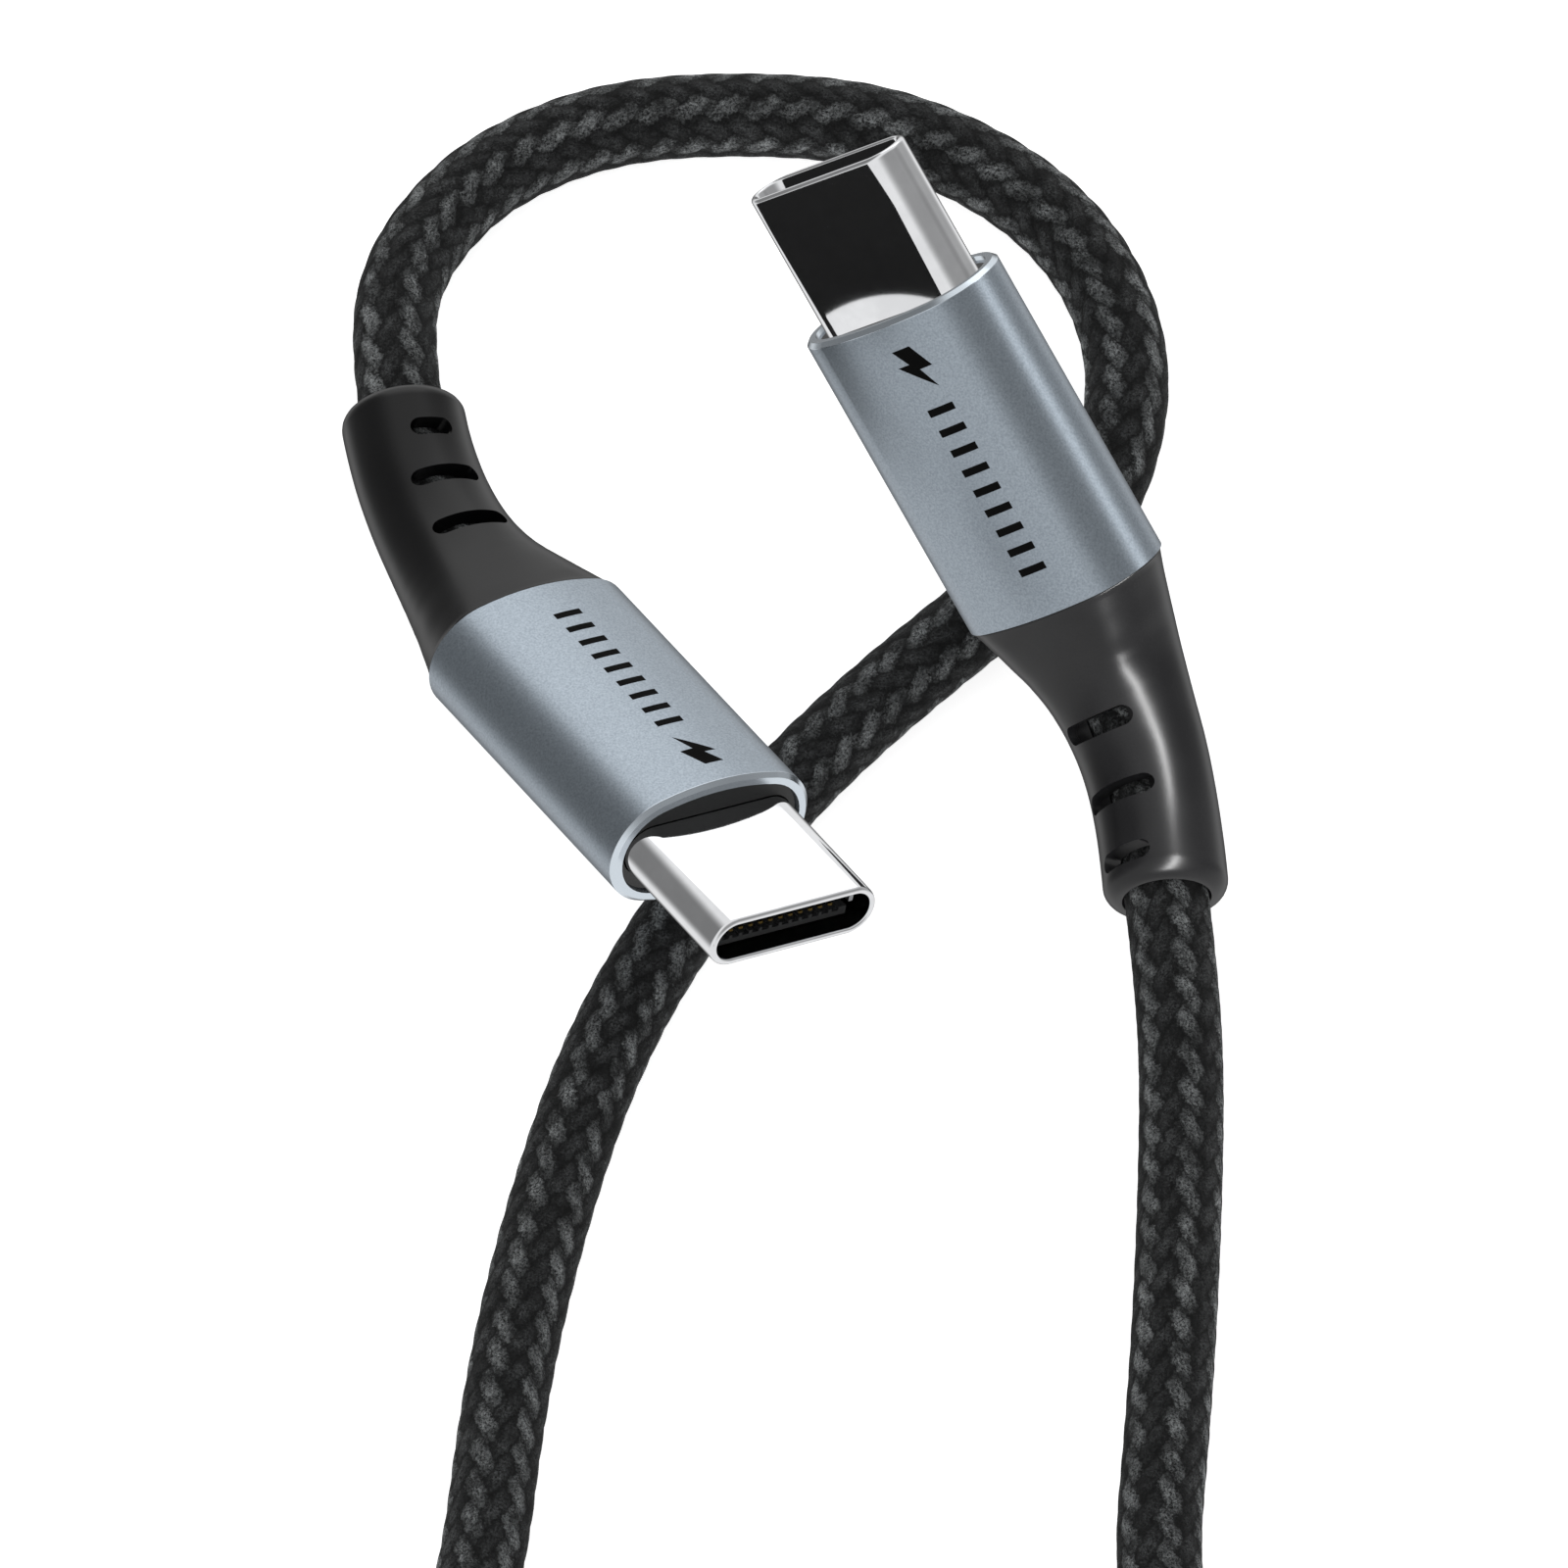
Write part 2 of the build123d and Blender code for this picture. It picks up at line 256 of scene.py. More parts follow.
def smoothLine(points):
    # one smooth line, whose control points are the corners given
    data = bpy.data.curves.new("cordLine", "CURVE")
    data.dimensions = "3D"
    data.resolution_u = 16
    spline = data.splines.new("NURBS")
    spline.points.add(len(points) - 1)
    for target, point in zip(spline.points, points):
        target.co = (*point, 1.0)
    spline.order_u = 3
    spline.use_endpoint_u = True
    line = bpy.data.objects.new("cordLine", data)
    mesh = bpy.data.meshes.new_from_object(line)
    path = [vertex.co.copy() for vertex in mesh.vertices]
    bpy.data.meshes.remove(mesh)
    bpy.data.objects.remove(line)
    bpy.data.curves.remove(data)
    return path


def distancesAlong(path):
    distances = [0.0]
    for before, after in zip(path, path[1:]):
        distances.append(distances[-1] + (after - before).length)
    return distances


def rowPlaces(length, settings):
    # where the tube's rows stand: close together where the cord is seen, wider in the coil
    fine, coarse = settings["fineStep"] * mm, settings["coarseStep"] * mm
    startFine = settings["fineFromA"] * mm
    endFine = length - settings["fineFromB"] * mm
    fade = settings["fade"] * mm
    places = [0.0]
    while places[-1] < length - fine:
        here = places[-1]
        nearCoil = min(easeInOut((here - startFine) / fade), easeInOut((endFine - here) / fade))
        places.append(here + blend(fine, coarse, nearCoil))
    return places


def yarnHeight(around, along):
    # how far a yarn stands up, from 0 between yarns to 1 at the middle of one that lies on top
    first, second = around + along, around - along
    i, j = math.floor(first), math.floor(second)
    if (i + j) % 4 < 2:
        across, travelled = first - i, ((i + second) % 4) / 2
    else:
        across, travelled = second - j, ((j + first) % 4) / 2 - 1
    travelled = min(1.0, max(0.0, travelled))
    rounded = max(0.0, math.cos(math.pi * (across - 0.5))) ** braid["crossRound"]
    arched = blend(braid["floatDip"], 1.0, math.sin(math.pi * travelled) ** braid["floatRound"])
    return rounded * arched


def framesAlong(path, places, side):
    # centre, side, up and forward at each place along the path, carried on without twist
    distances = distancesAlong(path)
    frames, k = [], 0
    for place in places:
        while k < len(path) - 2 and distances[k + 1] < place:
            k += 1
        share = (place - distances[k]) / (distances[k + 1] - distances[k])
        centre = path[k].lerp(path[k + 1], share)
        way = (path[min(k + 2, len(path) - 1)] - path[max(k - 1, 0)]).normalized()
        side = (side - way * side.dot(way)).normalized()
        frames.append((centre, side.copy(), way.cross(side), way))
    return frames


def wrappedGrid(rowCount, around, place):
    # a grid rolled into a tube: place gives each corner's position, and the seam is merged later
    bm = bmesh.new()
    bmesh.ops.create_grid(bm, x_segments=around, y_segments=rowCount - 1, size=1)
    bm.verts.ensure_lookup_table()
    for index, vertex in enumerate(bm.verts):
        vertex.co = place(*divmod(index, around + 1))
    return bm


def buildBraidedTube(path, places, settings):
    around = settings["facesAround"]
    radius = settings["diameter"] / 2 * mm
    frames = framesAlong(path, places, Vector((0, 0, 1)))

    def mapAt(row, column):
        return settings["carriers"] * column / around, places[row] / (settings["pitch"] * mm)

    def pointAt(row, column):
        centre, side, up, _ = frames[row]
        turn = 2 * math.pi * column / around
        gap = places[min(row + 1, len(places) - 1)] - places[max(row - 1, 0)]
        shown = easeInOut(2 - gap / (2 * settings["fineStep"] * mm))
        dip = settings["yarnDepth"] * mm * shown
        reach = radius - dip * (1 - yarnHeight(*mapAt(row, column)))
        return centre + (side * math.cos(turn) + up * math.sin(turn)) * reach

    bm = wrappedGrid(len(places), around, pointAt)
    uvLayer = bm.loops.layers.uv.new("braidMap")
    bm.verts.index_update()
    for face in bm.faces:
        for loop in face.loops:
            loop[uvLayer].uv = mapAt(*divmod(loop.vert.index, around + 1))
    bmesh.ops.remove_doubles(bm, verts=bm.verts, dist=1e-7)
    bmesh.ops.holes_fill(bm, edges=[e for e in bm.edges if e.is_boundary], sides=0)
    bmesh.ops.recalc_face_normals(bm, faces=bm.faces)
    return bm


def nylonBraid(name, look):
    # plaited texturised nylon yarn: dull fuzzy fibres, each yarn's threads running its own way,
    # with painted shade where the yarns dip under each other
    material, tree, shader = startMaterial(name, look)
    where = addNode(tree, "TexCoord").outputs["Object"]
    ragged = addNode(tree, "TexNoise", {"Vector": where, "Scale": 1 / (look["ragged"] * mm),
                                        "Detail": 4.0, "Roughness": 0.75}).outputs["Color"]
    ragged = addNode(tree, "VectorMath", {0: ragged, 1: (0.5, 0.5, 0.5)}, operation="SUBTRACT")
    ragged = addNode(tree, "VectorMath", {0: ragged, 3: look["stray"]}, operation="SCALE")
    coords = addNode(tree, "UVMap", uv_map="braidMap")
    coords = addNode(tree, "VectorMath", {0: coords, 1: ragged}, operation="ADD")
    split = addNode(tree, "SeparateXYZ", {0: coords})
    u, v = split.outputs[0], split.outputs[1]
    first = addNode(tree, "Math", {0: u, 1: v}, operation="ADD")
    second = addNode(tree, "Math", {0: u, 1: v}, operation="SUBTRACT")
    i = addNode(tree, "Math", {0: first}, operation="FLOOR")
    j = addNode(tree, "Math", {0: second}, operation="FLOOR")
    cell = addNode(tree, "Math", {0: i, 1: j}, operation="ADD")
    place = addNode(tree, "Math", {0: cell, 1: 4.0}, operation="FLOORED_MODULO")
    secondOnTop = addNode(tree, "Math", {0: place, 1: 1.5}, operation="GREATER_THAN")
    acrossFirst = addNode(tree, "Math", {0: first}, operation="FRACT")
    acrossSecond = addNode(tree, "Math", {0: second}, operation="FRACT")
    across = addNode(tree, "Mix", {0: secondOnTop, 2: acrossFirst, 3: acrossSecond})
    alongFirst = addNode(tree, "Math", {0: i, 1: second}, operation="ADD")
    alongSecond = addNode(tree, "Math", {0: j, 1: first}, operation="ADD")
    along = addNode(tree, "Mix", {0: secondOnTop, 2: alongFirst, 3: alongSecond})
    wrapped = addNode(tree, "Math", {0: along, 1: 2.0}, operation="FLOORED_MODULO")
    rounded = addNode(tree, "Math", {0: across, 1: math.pi}, operation="MULTIPLY")
    rounded = addNode(tree, "Math", {0: rounded}, operation="SINE")
    arched = addNode(tree, "Math", {0: wrapped, 1: math.pi / 2}, operation="MULTIPLY")
    arched = addNode(tree, "Math", {0: arched}, operation="SINE")
    yarn = addNode(tree, "Math", {0: rounded, 1: arched}, operation="MULTIPLY")

    # threads: fine bands that run along each yarn, wavering as crimped fibre does
    strand = addNode(tree, "CombineXYZ", {0: across, 1: along, 2: secondOnTop})
    spacing = (look["threads"], look["waver"], look["apart"])
    threadMap = addNode(tree, "Mapping", {0: strand, 3: spacing})
    threads = addNode(tree, "TexNoise", {"Vector": threadMap, "Scale": 1.0, "Detail": 4.0,
                                         "Roughness": 0.7, "Distortion": 0.9})
    fuzz = addNode(tree, "TexNoise", {"Vector": where, "Scale": 1 / (look["fuzz"] * mm),
                                      "Detail": 4.0, "Roughness": 0.7})
    patches = addNode(tree, "TexNoise", {"Vector": where, "Scale": 1 / (look["patch"] * mm),
                                         "Detail": 2.0})
    low, high = look["patchRange"]
    patches = addNode(tree, "MapRange", {0: patches, 1: low, 2: high, 3: look["patchLeast"]})
    bright = addNode(tree, "Math", {0: threads, 1: fuzz}, operation="MULTIPLY")
    low, high = look["fibreRange"]
    bright = addNode(tree, "MapRange", {0: bright, 1: low, 2: high})
    # painted shade: each yarn darkens towards its edges and where it dips under another, down to
    # the deep tone
    edgeShade = addNode(tree, "Math", {0: yarn, 1: look["edgeShade"]}, operation="POWER")
    bright = addNode(tree, "Math", {0: bright, 1: edgeShade}, operation="MULTIPLY")
    tone = addNode(tree, "Math", {0: bright, 1: patches}, operation="MULTIPLY")
    light = addNode(tree, "Mix", {0: secondOnTop, 6: linearColour(look["lightYarn"]),
                                  7: linearColour(look["darkYarn"])}, data_type="RGBA").outputs[2]
    colour = addNode(tree, "Mix", {0: tone, 6: linearColour(look["deep"]), 7: light},
                     data_type="RGBA").outputs[2]
    height = addNode(tree, "Math", {0: threads, 1: fuzz}, operation="ADD")
    height = addNode(tree, "Math", {0: height, 1: yarn}, operation="ADD")
    finishSurface(tree, shader, look, colour, height)
    shader.inputs["Specular IOR Level"].default_value = look["specular"]
    return material


braidLook = {
    "roughness": 0.9, "ior": 1.53, "specular": 0.25, "bump": 1.0, "depth": 0.06,
    # deep: the tone of the darkest fibres, and also the painted shade between the yarns
    "deep": "#0a0b0b", "lightYarn": "#c2c6c7", "darkYarn": "#67696a",
    "threads": 9.0,  # across one yarn; real threads are finer than shows
    "waver": 2.6,  # changes of tone along a yarn between crossings
    "apart": 7.0,  # gives the two directions different patterns
    "fuzz": 0.1,  # loose fibre ends
    "fibreRange": (0.17, 0.4),
    "edgeShade": 0.6,  # how soon a yarn darkens towards its edges: painted shade between the yarns
    "patch": 1.1, "patchRange": (0.32, 0.62), "patchLeast": 0.25,
    "ragged": 0.35, "stray": 0.75,  # size of the fibres that leave their yarn, and how far
}

cordPoints = [tuckedEnd(exits["a"])] + [routePoint(p) for p in routeA]
cordPoints += [inMetres(p) for p in coilPoints(coil)]
cordPoints += [routePoint(p) for p in reversed(routeB)] + [tuckedEnd(exits["b"])]
cordPath = smoothLine(cordPoints)
cordLength = distancesAlong(cordPath)[-1]
cordShape = buildBraidedTube(cordPath, rowPlaces(cordLength, braid), braid)
nylon = nylonBraid("plaitedNylon", braidLook)
cordPiece = linkPiece("braidedCord", cordShape, [nylon])
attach(cordPiece, "root")
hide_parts("cord_run_a", "cord_coil", "cord_run_b")
print("cord", round(cordLength / mm, 1), "mm long,", len(cordPiece.data.polygons), "faces")


# Plain finishes: a base tone with grain, for the metals and plastics of the connectors

grainRange = (0.12, 0.38)  # of the noise, low tone to high
roughSpread = 0.15  # share by which the roughness varies


def grainedFinish(name, look):
    material, tree, shader = startMaterial(name, look)
    shader.inputs["Specular IOR Level"].default_value = look.get("specular", 0.5)
    where = addNode(tree, "TexCoord").outputs["Object"]
    grain = addNode(tree, "TexNoise", {"Vector": where, "Scale": 1 / (look["grain"] * mm),
                                       "Detail": 3.0})
    cloud = addNode(tree, "TexNoise", {"Vector": where, "Scale": 1 / (look["cloud"] * mm),
                                       "Detail": 1.0})
    mixed = addNode(tree, "Math", {0: grain, 1: cloud}, operation="MULTIPLY")
    low, high = grainRange
    share = addNode(tree, "MapRange", {0: mixed, 1: low, 2: high})
    colour = addNode(tree, "Mix", {0: share, 6: linearColour(look["low"]),
                                   7: linearColour(look["high"])}, data_type="RGBA").outputs[2]
    spread = look["roughness"] * roughSpread
    rough = addNode(tree, "MapRange", {0: cloud, 3: look["roughness"] - spread,
                                       4: look["roughness"] + spread})
    tree.links.new(rough.outputs[0], shader.inputs["Roughness"])
    finishSurface(tree, shader, look, colour, grain)
    return material


finishes = {
    # drawn steel with bright nickel: a clear mirror, very slightly waved
    "brightNickel": {"low": "#dfe0e2", "high": "#e9eaec", "metallic": 1.0, "roughness": 0.06,
                     "grain": 0.8, "cloud": 3.0, "bump": 0.03, "depth": 0.005},
    # moulded nylon with glass: charcoal, dull, a spark-eroded grain
    "mouldedCharcoal": {"low": "#171818", "high": "#202121", "roughness": 0.5, "ior": 1.5,
                        "grain": 0.06, "cloud": 1.5, "bump": 0.25, "depth": 0.01},
    # soft elastomer: satin black with a broad soft highlight
    "satinElastomer": {"low": "#0a0a0b", "high": "#101011", "roughness": 0.3, "ior": 1.5,
                       "specular": 0.3, "grain": 0.08, "cloud": 3.0, "bump": 0.12,
                       "depth": 0.008},
    # gold plated thinly over copper: a dulled yellow metal, darkened further as painted shade for
    # contacts deep in the plug
    "shadedGoldFlash": {"low": "#6f5a2c", "high": "#8f763e", "metallic": 1.0, "roughness": 0.22,
                  "grain": 0.1, "cloud": 0.8, "bump": 0.1, "depth": 0.005},
    # rolled stainless strip: grey, softly shiny
    "springSteel": {"low": "#9a9b9c", "high": "#b6b7b8", "metallic": 1.0, "roughness": 0.3,
                    "grain": 0.1, "cloud": 1.2, "bump": 0.12, "depth": 0.006},
    # screened solder mask on glass laminate: a deep green film
    "solderMask": {"low": "#0f3a20", "high": "#175030", "roughness": 0.35, "ior": 1.5,
                   "grain": 0.2, "cloud": 1.5, "bump": 0.1, "depth": 0.006},
    # moulded epoxy: matt, nearly black
    "chipEpoxy": {"low": "#151515", "high": "#232323", "roughness": 0.55, "ior": 1.5,
                  "grain": 0.05, "cloud": 1.0, "bump": 0.2, "depth": 0.006},
    # extruded wire insulation: smooth dark red
    "wireInsulation": {"low": "#6d1512", "high": "#8a2018", "roughness": 0.45, "ior": 1.5,
                       "grain": 0.2, "cloud": 1.0, "bump": 0.1, "depth": 0.006},
    # moulded polyethylene: milky and waxy
    "innerMoulding": {"low": "#b4b4ae", "high": "#c6c6c0", "roughness": 0.5, "ior": 1.5,
                      "grain": 0.1, "cloud": 2.0, "bump": 0.1, "depth": 0.006},
    # pad-printed ink: a thin matt black film
    "padPrintInk": {"low": "#020202", "high": "#060606", "roughness": 0.8, "ior": 1.5,
                    "specular": 0.1, "grain": 0.05, "cloud": 1.0, "bump": 0.1, "depth": 0.004},
    # drawn brass tube: warm and satin
    "drawnBrass": {"low": "#8f6c2e", "high": "#b38c44", "metallic": 1.0, "roughness": 0.28,
                   "grain": 0.1, "cloud": 1.2, "bump": 0.12, "depth": 0.006},
}
made = {name: grainedFinish(name, look) for name, look in finishes.items()}
print("finishes made")

# bead-blasted aluminium, dyed blue-grey: a fine metallic sparkle, and a bright cut round the mouth
blasted = {
    "metallic": 1.0, "roughness": 0.36, "low": "#8f98a1", "high": "#a6b0b9", "rim": "#d3dce4",
    "rimRoughness": 0.2,
    "grit": 0.09,  # real blasting is finer; this is as coarse as it needs to be to show
    "gritRange": (0.3, 0.7),
    "rimFrom": 14.1,  # along the shell, where the cut starts
    "rimBlend": 0.02,
    "bump": 0.22, "depth": 0.012,
}


def blastedAluminium(name, look, matrix):
    material, tree, shader = startMaterial(name, look)
    where = addNode(tree, "TexCoord").outputs["Object"]
    grain = addNode(tree, "TexNoise", {"Vector": where, "Scale": 1 / (look["grit"] * mm),
                                       "Detail": 2.0})
    low, high = look["gritRange"]
    share = addNode(tree, "MapRange", {0: grain, 1: low, 2: high})
    dyed = addNode(tree, "Mix", {0: share, 6: linearColour(look["low"]),
                                 7: linearColour(look["high"])}, data_type="RGBA").outputs[2]
    toLocal = matrix.inverted()
    local = addNode(tree, "Mapping", {0: where, 1: toLocal.translation,
                                      2: toLocal.to_euler(), 3: toLocal.to_scale()})
    height = addNode(tree, "SeparateXYZ", {0: local}).outputs[2]
    rim = addNode(tree, "MapRange", {0: height, 1: look["rimFrom"] - look["rimBlend"],
                                     2: look["rimFrom"] + look["rimBlend"]})
    colour = addNode(tree, "Mix", {0: rim, 6: dyed, 7: linearColour(look["rim"])},
                     data_type="RGBA").outputs[2]
    rough = addNode(tree, "MapRange", {0: rim, 3: look["roughness"], 4: look["rimRoughness"]})
    tree.links.new(rough.outputs[0], shader.inputs["Roughness"])
    matt = addNode(tree, "Math", {0: 1.0, 1: rim}, operation="SUBTRACT")
    pitted = addNode(tree, "Math", {0: grain, 1: matt}, operation="MULTIPLY")
    finishSurface(tree, shader, look, colour, pitted)
    return material


# Connectors

connectors = {
    "a": {"tail": (-10.71, 1.18, 5.025), "heading": -55.85, "lift": 15.93, "roll": -22.25,
          "bend": (8.47, 5.74)},
    "b": {"tail": (11.85, 2.6, 7.2), "heading": 127.03, "lift": 36.26, "roll": -57.6,
          "bend": (7.44, 7.66)},
}


def connectorMatrix(pose):
    # local z along the plug, local y out of the printed face, in millimetres
    axis = direction(pose["heading"], pose["lift"])
    side = Vector((0, 0, 1)).cross(axis).normalized()
    up = axis.cross(side)
    roll = math.radians(pose["roll"])
    across = side * math.cos(roll) + up * math.sin(roll)
    columns = Matrix((across, axis.cross(across), axis)).transposed().to_4x4()
    return Matrix.Translation(inMetres(pose["tail"])) @ columns @ Matrix.Scale(mm, 4)


shell = {"width": 9.84, "height": 6.0, "endRadius": 2.7}
leastRise = 0.12  # of the two long arcs above the end arcs


def longArcRadius(a, b, endRadius):
    return (a * a + b * b - endRadius ** 2) / (2 * (b - endRadius))


def ovalPoint(width, height, share):
    # a point on an oval of four tangent arcs, share of the way round it
    endRadius = min(shell["endRadius"], height / 2 - leastRise)
    a, b = width / 2 - endRadius, height / 2
    longRadius = longArcRadius(a, b, endRadius)
    joint = math.atan2(longRadius - b, a)
    quarter = endRadius * joint + longRadius * (math.pi / 2 - joint)
    quadrant, within = divmod(share * 4, 1)
    step = within * quarter if quadrant % 2 == 0 else (1 - within) * quarter
    if step < endRadius * joint:
        turn = step / endRadius
        x, y = a + endRadius * math.cos(turn), endRadius * math.sin(turn)
    else:
        turn = joint + (step - endRadius * joint) / longRadius
        x, y = longRadius * math.cos(turn), b - longRadius + longRadius * math.sin(turn)
    return (x if quadrant in (0, 3, 4) else -x), (y if quadrant in (0, 1, 4) else -y)


# Strain reliefs: soft mouldings that follow the cord's first bend

relief = {
    "sections": [(0.0, 9.64, 5.86), (1.0, 8.80, 5.62), (2.0, 8.10, 5.42), (3.2, 7.26, 5.26),
                 (4.6, 6.48, 5.14), (6.4, 5.86, 5.1), (8.6, 5.52, 5.12), (11.0, 5.36, 5.2),
                 (12.6, 5.3, 5.26), (16.0, 5.3, 5.26)],  # distance, width, height
    "rowStep": 0.2,
    "facesAround": 112,
    "spigot": 1.4,  # the part inside the shell
    "spigotSize": (8.74, 4.9),
    "lead": 0.2,  # how far the axis runs on beyond the spigot
    "shellGap": 0.02,
    "rootRound": 0.08, "rootSteps": 4,
    "tipRound": 0.75, "tipSteps": 8,
    "boreRadius": 1.83, "boreChamfer": 0.1, "boreStep": 0.8,
    "pocketRadius": 2.13, "pocketEnd": 0.1,  # room for the crimp sleeve
    "cornerCut": 2.9,
    "slotFloor": 1.45, "slotTop": 4.5, "slotHeight": 0.85,
    "sharpAngle": 38,
}
reliefSlots = {
    "a": [(5.7, 3.5), (8.7, 3.1), (11.4, 1.9)],  # distance from the shell, length
    "b": [(6.1, 3.7), (9.9, 3.6), (13.1, 2.6)],
}


def between(table, place):
    # smooth reading of a table of rows, each led by its distance
    k = max(0, min(len(table) - 2, sum(1 for row in table if row[0] <= place) - 1))
    low, high = table[k], table[k + 1]
    share = (place - low[0]) / (high[0] - low[0])
    values = []
    for column in range(1, len(low)):
        slopes = []
        for here in (k, k + 1):
            before, after = table[max(0, here - 1)], table[min(len(table) - 1, here + 1)]
            slopes.append((after[column] - before[column]) / (after[0] - before[0]))
        span = high[0] - low[0]
        h = share * share * (3 - 2 * share)
        values.append(blend(low[column], high[column], h)
                      + span * slopes[0] * share * (1 - share) ** 2
                      - span * slopes[1] * share * share * (1 - share))
    return values


def reliefAxis(end):
    pose = connectors[end]
    tail, axis = inMetres(pose["tail"]), direction(pose["heading"], pose["lift"])
    corner = tail - axis * pose["bend"][0] * mm
    outward = direction(exits[end]["heading"])
    cut = relief["cornerCut"] * mm
    return smoothLine([tail + axis * (relief["spigot"] + relief["lead"]) * mm, tail,
                       corner + axis * cut, corner + outward * cut,
                       inMetres(exits[end]["point"])])


def reliefRows(length):
    # each row: its place along the axis, then the width and height of its outline
    spigot, tip = relief["spigot"], relief["tipRound"]
    rows = [(place, *relief["spigotSize"]) for place in (-spigot, -relief["shellGap"])]
    for k in range(relief["rootSteps"] + 1):
        turn = math.radians(90 * k / relief["rootSteps"])
        inset = relief["rootRound"] * (1 - math.sin(turn))
        rows.append((relief["rootRound"] * (1 - math.cos(turn)),
                     *(v - 2 * inset for v in between(relief["sections"], 0))))
    place = 2 * relief["rootRound"]
    while place < length - tip:
        rows.append((place, *between(relief["sections"], place)))
        place += relief["rowStep"]
    for k in range(relief["tipSteps"] + 1):
        turn = math.radians(90 * k / relief["tipSteps"])
        here = length - tip + tip * math.sin(turn)
        rows.append((here, *(v - 2 * tip * (1 - math.cos(turn))
                             for v in between(relief["sections"], here))))
    bore, pocket = 2 * relief["boreRadius"], 2 * relief["pocketRadius"]
    pocketEnd = relief["pocketEnd"]
    place = length - relief["boreChamfer"]
    while place > 2 * pocketEnd:
        rows.append((place, bore, bore))
        place -= relief["boreStep"]
    rows += [(pocketEnd, bore, bore), (pocketEnd, pocket, pocket), (-spigot, pocket, pocket)]
    return rows + rows[:1]


def stadiumPrism(bm, length, height, low, high, matrix):
    # a round-ended bar along x, standing from low to high along z, then put in place
    base = bmesh.ops.create_circle(bm, segments=24, radius=height / 2, cap_ends=True)["verts"]
    half = (length - height) / 2
    for vertex in base:
        vertex.co.x += half if vertex.co.x > 0 else -half
        vertex.co.z = low
    face = base[0].link_faces[0]
    top = bmesh.ops.extrude_face_region(bm, geom=[face], use_keep_orig=True)["geom"]
    raised = vertsIn(top)
    bmesh.ops.translate(bm, verts=raised, vec=(0, 0, high - low))
    bmesh.ops.transform(bm, matrix=matrix, verts=base + raised)


def buildRelief(end):
    path = reliefAxis(end)
    start = (relief["spigot"] + relief["lead"]) * mm
    length = (distancesAlong(path)[-1] - start) / mm
    rows = reliefRows(length)
    side = connectorMatrix(connectors[end]).to_3x3().col[0].normalized()
    order = sorted(range(len(rows)), key=lambda k: rows[k][0])
    inOrder = framesAlong(path, [start + rows[k][0] * mm for k in order], side)
    frames = dict(zip(order, inOrder))
    around = relief["facesAround"]

    def pointAt(row, column):
        centre, across, up, _ = frames[row]
        x, y = ovalPoint(rows[row][1], rows[row][2], column / around)
        return centre + (across * x + up * y) * mm

    bm = wrappedGrid(len(rows), around, pointAt)
    bmesh.ops.remove_doubles(bm, verts=bm.verts, dist=1e-6)
    bmesh.ops.recalc_face_normals(bm, faces=bm.faces)
    body = linkPiece(f"strainRelief_{end}", bm, [made["satinElastomer"]])
    cutter = bmesh.new()
    for distance, slotLength in reliefSlots[end]:
        centre, across, up, way = framesAlong(path, [start + distance * mm], side)[0]
        for face in (1, -1):
            turned = Matrix((across, way * -face, up * face)).transposed().to_4x4()
            place = Matrix.Translation(centre) @ turned @ Matrix.Scale(mm, 4)
            stadiumPrism(cutter, slotLength, relief["slotHeight"], relief["slotFloor"],
                         relief["slotTop"], place)
    bmesh.ops.recalc_face_normals(cutter, faces=cutter.faces)
    cutSlots(body, cutter)
    body.data.set_sharp_from_angle(angle=math.radians(relief["sharpAngle"]))
    return body, path, length


def cutSlots(body, cutter):
    tool = linkPiece("slotCutter", cutter, [])
    cut = body.modifiers.new("slots", "BOOLEAN")
    cut.operation, cut.solver, cut.object = "DIFFERENCE", "EXACT", tool
    view = bpy.context.evaluated_depsgraph_get()
    mesh = bpy.data.meshes.new_from_object(body.evaluated_get(view))
    body.modifiers.remove(cut)
    body.data = mesh
    bpy.data.objects.remove(tool)


# Plugs: a seamless drawn tongue with a rolled lip, hollow for its contacts

plug = {
    "width": 8.25, "height": 2.4, "wall": 0.3, "root": 10.3, "tip": 20.7, "cavity": 7.4,
    "outerRound": 0.17, "innerRound": 0.1, "lipSteps": 4, "segments": 64, "sharpAngle": 50,
}


